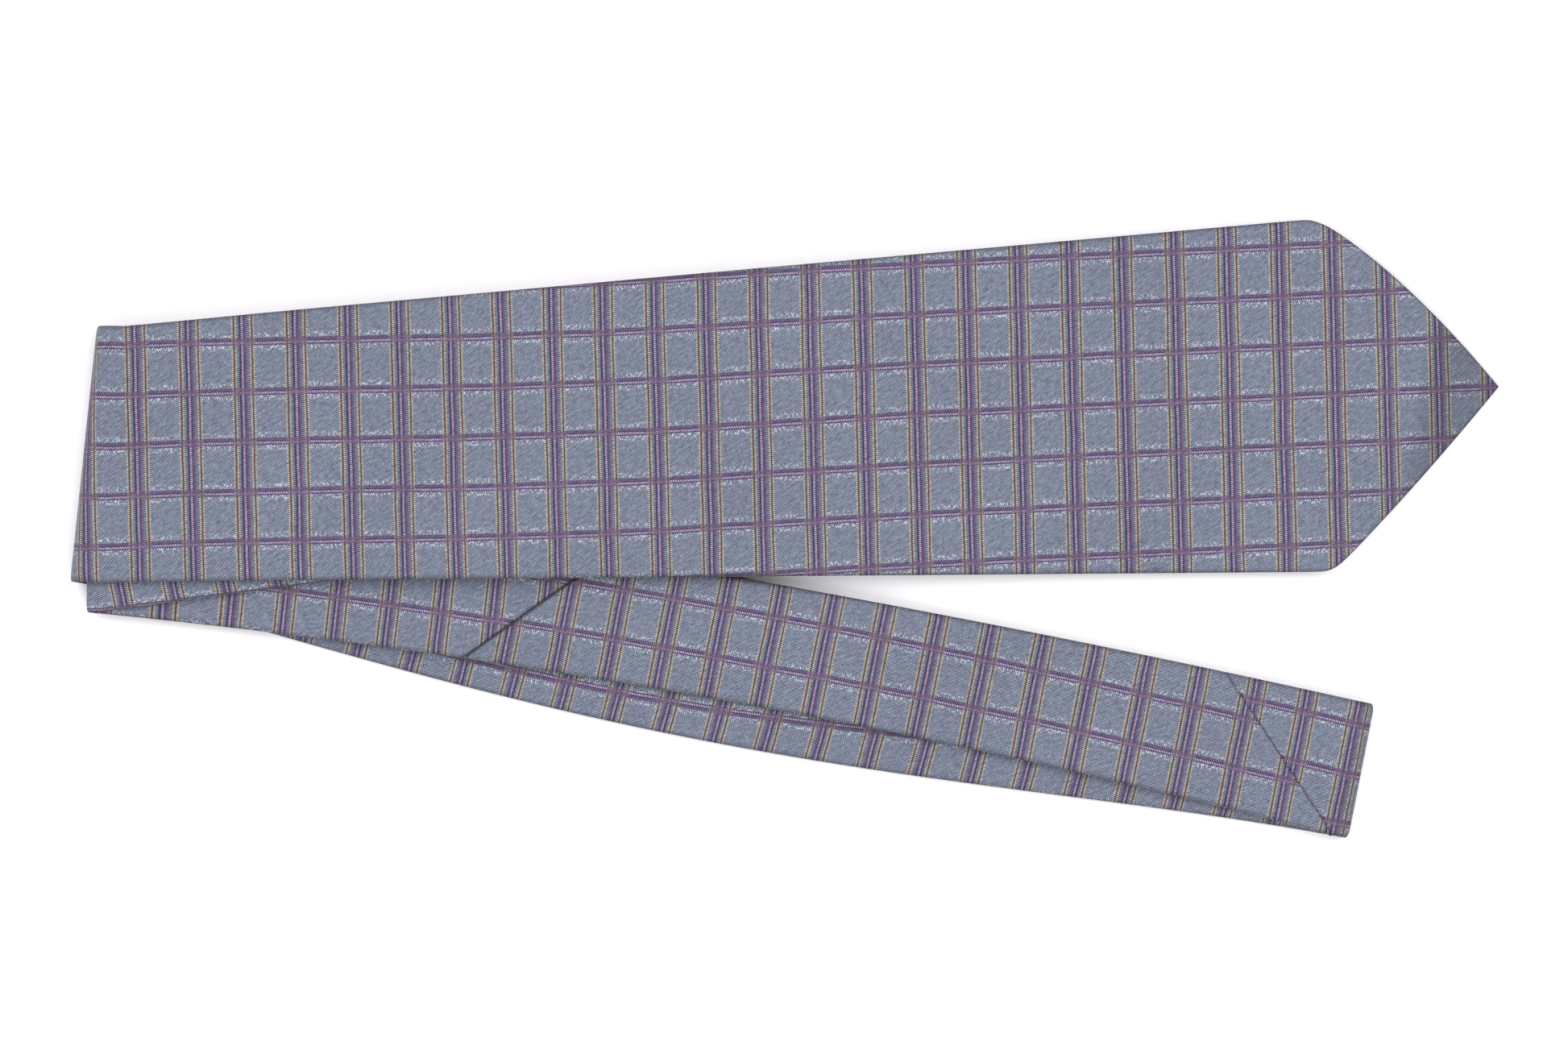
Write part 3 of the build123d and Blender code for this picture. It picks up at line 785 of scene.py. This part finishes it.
def sewing_thread(name, dark, light):
    """Twisted thread: a fine slanting stripe on Object coordinates."""
    w = Weave(name, roughness=0.55)
    place = w.node("ShaderNodeTexCoord").outputs["Object"]
    twist = w.noise(place, 0.25 * MM, 1.0)
    w.feed(w.shader.inputs["Base Color"], w.mix(twist, dark, light))
    w.raise_from(twist, 0.03, 0.4)
    return w.material


def cloth_coordinates(along, across, origin, sign, turn=1):
    """Places on the flat cloth: origin plus or minus the distance along, and across."""
    return np.stack([origin + sign * along, turn * across], axis=-1)


REPEAT_START = (3.15, 1.1)  # where a repeat begins, back from the crease and the middle line


def weave_place(cut, flat):
    """Where the weave falls on a cut of cloth: its flat place plus how it has crept and skewed.

    Creep along and across is a sum of bumps, exp(-(u/width)^2), and smooth steps; the stripes
    across the cloth also lean by a small constant times v.
    """
    u, v = flat[..., 0], flat[..., 1]

    def bump(middle, width):
        return np.exp(-(((u - middle) / width) ** 2))

    def step(start, end):
        return smooth((u - start) / (end - start))

    if cut == "wide":
        lean = -0.024
        along = (0.6 + 1.9 * bump(72, 55) + 0.8 * step(260, 370) - 6.2 * step(0, -120)
                 + 2.8 * step(-280, -365))
        across = (0.2 + 1.9 * step(120, 10) - 0.95 * bump(150, 50) + 6.2 * step(0, -200)
                  + 4.0 * step(-290, -370))
    elif cut == "neck":
        lean = -0.024
        along = -6.9 + 1.6 * step(-540, -404) + 1.1 * step(-540, -600) + 0.009 * (u + 500)
        across = -5.9 - 0.008 * (u + 500)
    else:
        lean = 0.06
        along = 1.9 - 0.005 * (u + 640) - 7.2 * step(-672, -712)
        across = -5.5 + 0 * u
    return np.stack([u + lean * v - along + REPEAT_START[0], v - across + REPEAT_START[1]],
                    axis=-1)


FIRST_SEAM, SECOND_SEAM = (21.0, -1.0), (227.0, 1.0)
# Each seam's place, how deep it is pressed in, its half width and how dark its painted groove shade
# is.
SEAMS = ((FIRST_SEAM, 0.3, 0.3, 1.0), (SECOND_SEAM, 0.36, 0.5, 2.1))
UNDER = Band(blade_fold, half_fold, (-5.9, -5.1, -6.4), (68.5, 46.0, 37.4))
NECK = Band(half_fold, tail_fold, (-5.4, -0.9, 0.0), (37.4, 33.7, 36.8))
UNDER_LINES = UNDER.fold_line(blade_fold, False), UNDER.fold_line(half_fold, True)
NECK_LINES = NECK.fold_line(half_fold, False), NECK.fold_line(tail_fold, True)
# Distance along the flat cloth at the start of each layer, from the blade's crease.
UNDER_FROM = blade_fold.radius - 2 * blade_fold.quarter
NECK_FROM = UNDER_FROM - UNDER.run - 2 * half_fold.quarter
TAIL_FROM = NECK_FROM - NECK.run - math.pi * (tail_fold.radius - LAYER / 2) + tail_fold.radius


def from_seam(points, seam):
    """Distance in plan of each point from a joining seam, which slants at 45 degrees."""
    rel = points[..., :2] - NECK.start
    x = rel @ NECK.chord
    across = rel @ NECK.side - NECK.offset(x)
    return np.abs(x - seam[0] - seam[1] * across) * SEAM_COSINE


def make_layers(profile, inset=0.0):
    """Every layer with one cross-section: grids of points, flat cloth places and depths."""
    out = {}
    grid, runs, cloth, depth = pointed_layer(*BLADE_LAYER, 2.2, profile, inset)
    out["blade"] = (grid, cloth_coordinates(runs, cloth, 0, 1), depth)
    grid, x, cloth, depth = UNDER.layer(*UNDER_LINES, False, UNDER_LOW, 2.2, profile,
                                        inset=inset)
    out["under"] = (grid, cloth_coordinates(x, cloth, UNDER_FROM, -1), depth)
    first, last = NECK_LINES
    pieces = {
        "under_end": (first, FIRST_SEAM, (False, True)),
        "neck": (FIRST_SEAM, SECOND_SEAM, (True, True)),
        "tail_start": (SECOND_SEAM, last, (True, False)),
        "whole_neck": (first, last, (False, False)),
    }
    for name, (low, high, close) in pieces.items():
        grid, x, cloth, depth = NECK.layer(low, high, True, NECK_TOP, 2.2, profile, close, inset)
        if name != "whole_neck":
            for seam, pressed, wide, _ in SEAMS:
                dip = pressed * np.exp(-((from_seam(grid, seam) / wide) ** 2))
                grid[..., 2] -= dip * (depth < LAYER / 2)
        out[name] = (grid, cloth_coordinates(x, cloth, NECK_FROM, -1, -1), depth)
    grid, runs, cloth, depth = pointed_layer(*TAIL_LAYER, 2.2, profile, inset)
    out["tail"] = (grid, cloth_coordinates(runs, cloth, TAIL_FROM, -1), depth)
    return out


def first_row(entry):
    return entry[0][0], entry[1][0], entry[2][0]


def last_row(entry):
    return entry[0][-1], entry[1][-1], entry[2][-1]


def mirrored(row, loop=False):
    """The same row with its columns in the opposite order; a loop keeps its two depths."""
    turned = tuple(part[::-1] for part in row)
    if loop:
        turned = tuple(np.roll(part, len(part) // 2, axis=0) for part in turned)
    return turned


def fold_strips(layers, neck_start, neck_end, half_rows, loop=False, wall=0.0):
    """The strips of cloth round the blade's crease, the tail's crease and the half fold."""
    under, blade, tail = (layers[name] for name in ("under", "blade", "tail"))
    return (
        fold_strip(blade_fold, first_row(under), first_row(blade), 25, True, BLADE_PINCH, wall),
        fold_strip(tail_fold, mirrored(last_row(layers[neck_end]), loop), first_row(tail), 17,
                   False, TAIL_PINCH, wall),
        fold_strip(half_fold, last_row(under), mirrored(first_row(layers[neck_start]), loop),
                   half_rows, True, 1.0, wall),
    )


def capped(points):
    """Adds a row at each end that brings the two sides of a loop together."""
    middle = (points[[0, -1]] + points[[0, -1], ::-1]) / 2
    return np.concatenate([middle[:1], points, middle[1:]])


PIECES = {}


def keep(piece, body, node, material):
    """Hands a finished piece to its body in place of its CAD node."""
    piece.data.materials.append(material)
    if body is not None:
        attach(piece, body)
    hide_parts(node)
    PIECES[piece.name] = piece
    return piece


def silk_painted_shade(points, depth):
    """Painted shade: 1 along the turned sides, up to 2 in the grooves of the joining seams, 0 on
    the faces and flaps.

    The cloth is also painted darker towards the half fold, where it turns away from the light.
    """
    # painted shade along the turned sides, where the rolled edge turns away from the light
    side = smooth((depth - 0.05) / 0.5) * (1 - smooth((depth - 1.45) / 0.5))
    # painted shade in the grooves of the joining seams
    seams = [dark * np.exp(-((from_seam(points, seam) / wide) ** 2))
             for seam, _, wide, dark in SEAMS]
    on_neck = (np.abs(points[..., 2] - NECK_TOP) < 0.6) & (depth < LAYER / 2)
    # painted shade towards the half fold, where the cloth turns away from the light
    inward, _ = half_fold.measure(points)
    return np.clip(side + sum(seams) * on_neck + 0.6 * smooth((6.5 - inward) / 6.5), 0, 2.1)


class SilkOperator:
    """Shared by the operators that make silk pieces."""

    bl_options = {"REGISTER", "UNDO"}

    def shell(self, name, entry, node, body, cut, flip, merge=False):
        points, cloth, depth = entry
        material = bpy.data.materials.get("plaid silk") or plaid_silk("plaid silk")
        piece = mesh_grid(name, points, weave_place(cut, cloth), flip=flip, merge=merge,
                          shade=silk_painted_shade(points, depth))
        thicken(piece, bpy.context.scene.tie_sizes.silk / MM)
        keep(piece, body, node, material)
        declare_sheet(cloth)
        return piece


class TIE_OT_silk(SilkOperator, bpy.types.Operator):
    """Makes the woven silk shells of all four layers and the folds between them"""

    bl_idname = "tie.silk"
    bl_label = "Silk shells"

    def execute(self, context):
        layers = make_layers(silk_profile)
        wide, neck, tail = "wide", "neck", "tail"
        self.shell("silk_blade", layers["blade"], "blade_shell", "wide_blade", wide, True, True)
        self.shell("silk_under", layers["under"], "under_shell", "folded_base", wide, False)
        self.shell("silk_under_end", layers["under_end"], "under_shell_end", "folded_base", wide,
                   True)
        self.shell("silk_neck", layers["neck"], "neck_shell", "folded_base", neck, True)
        self.shell("silk_tail_start", layers["tail_start"], "tail_shell_start", "folded_base",
                   tail, True)
        self.shell("silk_tail", layers["tail"], "tail_shell", "tail", tail, False, True)
        blade_strip, tail_strip, half_strip = fold_strips(layers, "under_end", "tail_start", 17)
        piece = self.shell("silk_blade_crease", blade_strip, "blade_crease_shell", None, wide,
                           True)
        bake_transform(piece)
        piece = self.shell("silk_tail_crease", tail_strip, "tail_crease_shell", None, tail,
                           False)
        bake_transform(piece)
        self.shell("silk_half_fold", half_strip, "half_fold_shell", "folded_base", wide, False)
        return {"FINISHED"}


def lined(name, entry, material, node, body, flip):
    """Makes a thin closed slab of lining or tipping from a grid of loops."""
    points, cloth, _ = entry
    piece = mesh_grid(name, capped(points), capped(cloth), flip=flip, closed=True, merge=True)
    keep(piece, body, node, material)
    half = cloth.shape[1] // 2
    declare_sheet(cloth[:, :half])
    return piece


class TIE_OT_lining(bpy.types.Operator):
    """Makes the brushed interlining inside each layer and round each fold"""

    bl_idname = "tie.lining"
    bl_label = "Interlining"

    def execute(self, context):
        layers = make_layers(slab_profile(0.48, 1.46), inset=1.7)
        wool = lining_wool()

        def make(name, entry, node, body, flip):
            return lined(name, entry, wool, node, body, flip)

        make("lining_blade", layers["blade"], "blade_interlining", "wide_blade", True)
        make("lining_under", layers["under"], "under_interlining", "folded_base", False)
        make("lining_neck", layers["whole_neck"], "neck_interlining", "folded_base", True)
        make("lining_tail", layers["tail"], "tail_interlining", "tail", False)
        blade_strip, tail_strip, half_strip = fold_strips(layers, "whole_neck", "whole_neck", 15,
                                                          loop=True, wall=WALL)
        piece = make("lining_blade_crease", blade_strip, "blade_crease_interlining", None, True)
        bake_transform(piece)
        piece = make("lining_tail_crease", tail_strip, "tail_crease_interlining", None, False)
        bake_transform(piece)
        make("lining_half_fold", half_strip, "half_fold_interlining", "folded_base", False)
        return {"FINISHED"}


class TIE_OT_tipping(bpy.types.Operator):
    """Makes the satin tipping behind the points of the blade and the tail"""

    bl_idname = "tie.tipping"
    bl_label = "Tipping"

    def execute(self, context):
        satin = tipping_satin()
        for name, layer, node, body in (
            ("tipping_blade", BLADE_LAYER, "blade_tipping", "wide_blade"),
            ("tipping_tail", TAIL_LAYER, "tail_tipping", "tail"),
        ):
            cut, _, face_up, _ = layer
            points, runs, cloth, depth = pointed_layer(
                *layer, 2.0, slab_profile(1.52, 1.6), inset=3.0,
                begin=cut["length"] - cut["part"] + 4)
            entry = (points, cloth_coordinates(runs, cloth, 0, 1), depth)
            lined(name, entry, satin, node, body, face_up)
        return {"FINISHED"}


def on_back(cut, fold, face_up, top, along, across, off):
    """Places on a layer's back: along from the crease, across, and off its surface."""
    axis = heading(cut["angle"])
    side = np.array([-axis[1], axis[0]])
    plan = fold.middle + along[..., None] * axis + across[..., None] * side
    drop = sag(plan[..., 0]) - ripple(plan[..., 0], plan[..., 1])
    height = (top - LAYER - off if face_up else top + LAYER + off) - drop
    return np.concatenate([plan, height[..., None]], axis=-1)


def back_panel(name, tape, node, material):
    """A flat tape on the blade's back: a thin slab whose middle stands off by a bulge.

    The bulge is bulge times (1 - s^4), s from -1 to 1 across the tie, so the ends lie close.
    """
    middle = BLADE["length"] - tape["from_tip"]
    long, wide, thick, bulge = (tape[key] for key in ("long", "wide", "thick", "bulge"))
    columns, rows = 33, 9
    share = np.linspace(-1, 1, columns)
    edge = np.concatenate([share, share[::-1]])
    off = np.concatenate([0 * share, 0 * share + thick]) + 0.06
    reach = np.array([-1, -0.985, *np.linspace(-0.9, 0.9, rows), 0.985, 1])
    slim = np.sqrt(np.clip(1.0 - np.abs(reach) ** 30 * 0.75, 0.1, 1))[:, None]
    along = middle + reach[:, None] * long / 2 + 0 * edge
    across = edge * wide / 2 + 0 * along
    off = (0.06 + (off - 0.06) * slim) + bulge * (1 - edge ** 4)
    points = on_back(*BLADE_LAYER, along, across, off)
    entry = (points, np.stack([along - middle, across], axis=-1), None)
    return lined(name, entry, material, node, "wide_blade", False)


class TIE_OT_labels(bpy.types.Operator):
    """Makes the keeper loop, the blank label and the blank care label on the blade's back"""

    bl_idname = "tie.labels"
    bl_label = "Keeper loop and labels"

    def execute(self, context):
        slate = label_tape("keeper tape", srgb(92, 98, 120), srgb(140, 148, 172))
        back_panel("keeper_loop_strap", KEEPER, "keeper_loop", slate)
        navy = label_tape("label tape", srgb(60, 64, 88), srgb(104, 108, 134))
        back_panel("label_blank", LABEL, "back_label", navy)
        white = label_tape("care label tape", srgb(196, 194, 190), srgb(226, 224, 220))
        back_panel("care_label_blank", CARE_LABEL, "care_label", white)
        return {"FINISHED"}


def stitches(name, middles, runs, ups, length, radius, arch, node, body, material):
    """Short arched threads: at each middle, a closed tube along a run that rises by an arch.

    Along each thread t goes from -1 to 1; the centre is at t times half the length along the
    run and arch times (1 - t^2) up, and the radius shrinks by the root of (1 - t^6).
    """
    t = np.linspace(-1, 1, 8)
    turn = np.linspace(0, 2 * math.pi, 7)[:-1]
    middles, runs = np.asarray(middles, float), np.asarray(runs, float)
    ups = np.broadcast_to(np.asarray(ups, float), middles.shape)
    runs = runs / np.linalg.norm(runs, axis=1, keepdims=True)
    sides = np.cross(runs, ups)
    centre = (middles[:, None] + runs[:, None] * (t * length / 2)[None, :, None]
              + ups[:, None] * (arch * (1 - t ** 2))[None, :, None])
    thick = radius * np.sqrt(np.clip(1 - t ** 6, 0, 1))
    round_ = (np.cos(turn)[None, None, :, None] * sides[:, None, None]
              + np.sin(turn)[None, None, :, None] * ups[:, None, None])
    points = centre[:, :, None] + thick[None, :, None, None] * round_
    count, rows, columns = points.shape[:3]
    index = np.arange(count * rows * columns).reshape(count, rows, columns)
    ring = np.concatenate([index, index[:, :, :1]], axis=2)
    quads = np.stack([ring[:, :-1, :-1], ring[:, :-1, 1:], ring[:, 1:, 1:], ring[:, 1:, :-1]],
                     axis=-1).reshape(-1, 4)
    mesh = bpy.data.meshes.new(name)
    mesh.from_pydata((points.reshape(-1, 3) * MM).tolist(), [], quads.tolist())
    work = bmesh.new()
    work.from_mesh(mesh)
    bmesh.ops.remove_doubles(work, verts=work.verts, dist=1e-6)
    bmesh.ops.recalc_face_normals(work, faces=work.faces)
    work.to_mesh(mesh)
    work.free()
    mesh.shade_smooth()
    piece = bpy.data.objects.new(name, mesh)
    bpy.context.scene.collection.objects.link(piece)
    return keep(piece, body, node, material)


def turned(vectors, degrees):
    """Vectors turned in plan."""
    c, s = math.cos(math.radians(degrees)), math.sin(math.radians(degrees))
    return np.stack([vectors[..., 0] * c - vectors[..., 1] * s,
                     vectors[..., 0] * s + vectors[..., 1] * c, vectors[..., 2]], axis=-1)


UP, DOWN = (0.0, 0.0, 1.0), (0.0, 0.0, -1.0)
SLIP_PITCH, SLIP_LENGTH, SLIP_TURN = 8.0, 3.2, 24  # slip stitches slant across the slit


def slip_stitches(radius, thread):
    """Long loose stitches that close the slit down the back of every layer."""
    rows = []
    for name, layer, last, node, body, way in (
        ("slip_stitch_blade", BLADE_LAYER, BLADE["length"] - 264, "blade_slip_stitch",
         "wide_blade", DOWN),
        ("slip_stitch_tail", TAIL_LAYER, TAIL["length"] - TAIL["part"] - 10,
         "tail_slip_stitch", "tail", UP),
    ):
        along = np.arange(14.0, last, SLIP_PITCH)
        rows.append((name, on_back(*layer, along, 0 * along, 0 * along), way, node, body))
    for name, band, low, node, way in (
        ("slip_stitch_under", UNDER, UNDER_LOW + LAYER, "under_slip_stitch", UP),
        ("slip_stitch_neck", NECK, NECK_TOP - LAYER, "neck_slip_stitch", DOWN),
    ):
        x = np.arange(6.0, band.run - 5, SLIP_PITCH)
        plan = band.start + x[:, None] * band.chord + band.offset(x)[:, None] * band.side
        lift = ripple(plan[:, 0], plan[:, 1], 0.0 if way is UP else 0.5)
        middles = np.concatenate([plan, (low + lift)[:, None]], axis=1)
        rows.append((name, middles, way, node, "folded_base"))
    for name, middles, way, node, body in rows:
        stitches(name, middles, turned(np.gradient(middles, axis=0), SLIP_TURN), way,
                 SLIP_LENGTH, radius, 0.1, node, body, thread)


def bar_tacks(thread):
    """Close stitches side by side where the flaps part."""
    for name, layer, node, body, way in (
        ("bar_tack_blade", BLADE_LAYER, "blade_bar_tack", "wide_blade", DOWN),
        ("bar_tack_tail", TAIL_LAYER, "tail_bar_tack", "tail", UP),
    ):
        across = np.linspace(-3.3, 3.3, 19)
        along = layer[0]["length"] - layer[0]["part"] - 4 + 0 * across
        middles = on_back(*layer, along, across, 0 * across)
        ahead = on_back(*layer, along + 1, across, 0 * across) - middles
        stitches(name, middles, turned(ahead, 8), way, 1.3, 0.19, 0.12, node, body, thread)


def corner_stitches(thread):
    """One stitch at each corner of the keeper loop and of the label."""
    corner = 1.6
    for name, tape, off, node in (
        ("keeper_corner_stitches", KEEPER, 0.38, "keeper_stitches"),
        ("label_corner_stitches", LABEL, 0.36, "label_stitches"),
    ):
        along = (BLADE["length"] - tape["from_tip"]
                 + np.array([-1, 1, -1, 1]) * (tape["long"] / 2 - corner))
        across = np.array([-1, -1, 1, 1]) * (tape["wide"] / 2 - corner)
        middles = on_back(*BLADE_LAYER, along, across, off + 0 * across)
        beside = on_back(*BLADE_LAYER, along, across + 1, off + 0 * across) - middles
        stitches(name, middles, beside, DOWN, 2.0, 0.08, 0.03, node, "wide_blade", thread)


def seam_threads(radius, thread):
    """The thread of each joining seam, in the groove between the two pieces of silk."""
    for name, seam, long, node in (
        ("first_seam_stitches", FIRST_SEAM, 1.5, "first_seam_thread"),
        ("second_seam_stitches", SECOND_SEAM, 1.2, "second_seam_thread"),
    ):
        reach = NECK.half(np.array([seam[0]]))[0] - 2.2
        across = np.arange(-reach, reach, 2.3 * SEAM_COSINE)
        x = seam[0] + seam[1] * across
        plan = (NECK.start + x[:, None] * NECK.chord
                + (NECK.offset(x) + across)[:, None] * NECK.side)
        height = NECK_TOP + ripple(plan[:, 0], plan[:, 1], 0.5) - 0.36
        middles = np.concatenate([plan, height[:, None]], axis=1)
        stitches(name, middles, np.gradient(middles, axis=0), UP, long, radius * 1.5, 0.04, node,
                 "folded_base", thread)


class TIE_OT_stitching(bpy.types.Operator):
    """Makes the slip stitches, bar tacks, corner stitches and the threads of both seams"""

    bl_idname = "tie.stitching"
    bl_label = "Stitching"

    def execute(self, context):
        radius = context.scene.tie_sizes.stitch / MM / 2
        slate = sewing_thread("slate thread", srgb(58, 58, 78), srgb(112, 112, 138))
        slip_stitches(radius, slate)
        bar_tacks(sewing_thread("tack thread", srgb(78, 66, 98), srgb(136, 122, 158)))
        corner_stitches(slate)
        seam_threads(radius, sewing_thread("seam thread", srgb(40, 36, 52), srgb(88, 82, 104)))
        return {"FINISHED"}


class TIE_OT_stage(bpy.types.Operator):
    """Makes the pale table, the soft light and the camera"""

    bl_idname = "tie.stage"
    bl_label = "Stage"

    def execute(self, context):
        look = context.scene.tie_stage
        size = 3000.0
        grid = np.stack(np.meshgrid([-size, size], [-size, size], indexing="ij"), axis=-1)
        points = np.concatenate([grid, np.zeros((2, 2, 1)) - 0.02], axis=-1)
        floor = mesh_grid("table_top", points, flip=True)
        w = Weave("white paper", roughness=0.9)
        grain = w.noise(w.node("ShaderNodeTexCoord").outputs["Object"], 0.0015, 2.0)
        w.feed(w.shader.inputs["Base Color"],
               w.mix(grain, (0.86, 0.85, 0.865), (0.885, 0.875, 0.89)))
        w.shader.inputs["Specular IOR Level"].default_value = 0.1
        floor.data.materials.append(w.material)
        for x, y, turn_x, turn_y in (
            (-0.9, 0.7, -28, -38), (1.0, 0.6, -24, 40), (0.1, -1.1, 42, 0),
        ):
            lamp = bpy.data.lights.new("soft lamp", "AREA")
            lamp.energy = look.lamp_power
            lamp.size = 1.1
            lamp_object = bpy.data.objects.new("soft lamp", lamp)
            lamp_object.location = (x, y, 1.25)
            lamp_object.rotation_euler = (math.radians(turn_x), math.radians(turn_y), 0)
            context.scene.collection.objects.link(lamp_object)
        world = bpy.data.worlds.new("even light")
        world.use_nodes = True
        world.node_tree.nodes["Background"].inputs[0].default_value = (1.0, 0.985, 1.0, 1)
        world.node_tree.nodes["Background"].inputs[1].default_value = look.sky
        context.scene.world = world
        camera = bpy.data.cameras.new("camera")
        camera.lens = 135
        camera_object = bpy.data.objects.new("camera", camera)
        camera_object.location = (0.0004, 0.0018, look.camera_height)
        context.scene.collection.objects.link(camera_object)
        context.scene.camera = camera_object
        context.scene.view_settings.view_transform = "Standard"
        return {"FINISHED"}


class TIE_PT_panel(bpy.types.Panel):
    """Lists the steps that make the necktie"""

    bl_idname = "TIE_PT_panel"
    bl_label = "Necktie"
    bl_space_type = "VIEW_3D"
    bl_region_type = "UI"
    bl_category = "Necktie"

    def draw(self, context):
        layout = self.layout
        for group in (context.scene.tie_cloth, context.scene.tie_sizes, context.scene.tie_stage):
            for name in group.bl_rna.properties.keys():
                if name not in ("rna_type", "name"):
                    layout.prop(group, name)
        for step in STEPS:
            layout.operator(step)


STEPS = ("tie.stage", "tie.silk", "tie.lining", "tie.tipping", "tie.labels", "tie.stitching")
CLASSES = (TieCloth, TieSizes, TieStage, TIE_OT_stage, TIE_OT_silk, TIE_OT_lining,
           TIE_OT_tipping, TIE_OT_labels, TIE_OT_stitching, TIE_PT_panel)


def register():
    for kind in CLASSES:
        bpy.utils.register_class(kind)
    bpy.types.Scene.tie_cloth = PointerProperty(type=TieCloth)
    bpy.types.Scene.tie_sizes = PointerProperty(type=TieSizes)
    bpy.types.Scene.tie_stage = PointerProperty(type=TieStage)


def unregister():
    del bpy.types.Scene.tie_stage
    del bpy.types.Scene.tie_sizes
    del bpy.types.Scene.tie_cloth
    for kind in reversed(CLASSES):
        bpy.utils.unregister_class(kind)


def main():
    register()
    for step in STEPS:
        family, name = step.split(".")
        getattr(getattr(bpy.ops, family), name)()


if __name__ == "__main__":
    main()
